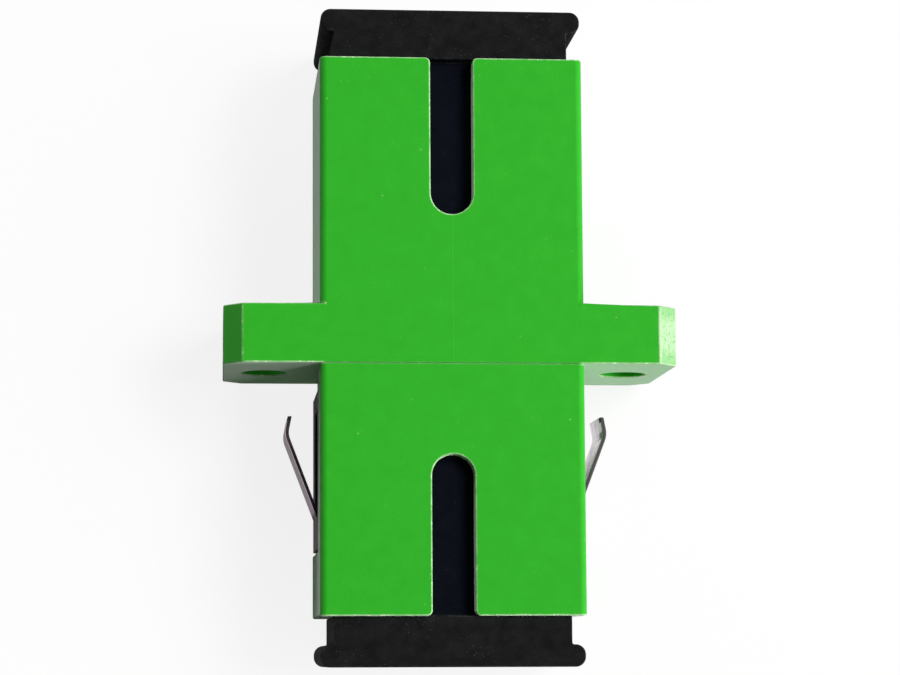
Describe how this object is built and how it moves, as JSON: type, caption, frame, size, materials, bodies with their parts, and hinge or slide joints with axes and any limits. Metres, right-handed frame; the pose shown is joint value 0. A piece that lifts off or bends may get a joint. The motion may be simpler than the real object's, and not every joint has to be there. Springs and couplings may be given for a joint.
{
  "type": "sc fibre adapter",
  "caption": "Flanged fibre optic adapter with a keyed rectangular port at each end, a spring panel clip and pull-off dust caps.",
  "frame": {"origin": "on the optical axis, halfway between the two port mouths, at the middle of the flange's thickness", "axes": "+Y along the optical axis towards the flanged half's port, +Z out of the key-slot face, X through the two screw holes"},
  "size_m": [0.0222, 0.032, 0.0094],
  "materials": {
    "housing_plastic": "satin moulded green",
    "receptacle_plastic": "natural white moulded",
    "sleeve_ceramic": "ground zirconia",
    "spring_steel": "rolled stainless sheet",
    "cap_plastic": "satin moulded black"
  },
  "bodies": {
    "adapter": {"upper_housing": "housing_plastic", "lower_housing": "housing_plastic", "upper_receptacle": "receptacle_plastic", "lower_receptacle": "receptacle_plastic", "alignment_sleeve": "sleeve_ceramic", "panel_clip": "spring_steel"},
    "upper_cap": {"upper_dust_cap": "cap_plastic"},
    "lower_cap": {"lower_dust_cap": "cap_plastic"}
  },
  "joints": [
    {"name": "upper_cap_pull", "type": "slide", "parent": "adapter", "child": "upper_cap", "axis": [0, 1, 0], "range_m": [0, 0.03]},
    {"name": "lower_cap_pull", "type": "slide", "parent": "adapter", "child": "lower_cap", "axis": [0, -1, 0], "range_m": [0, 0.03]}
  ]
}
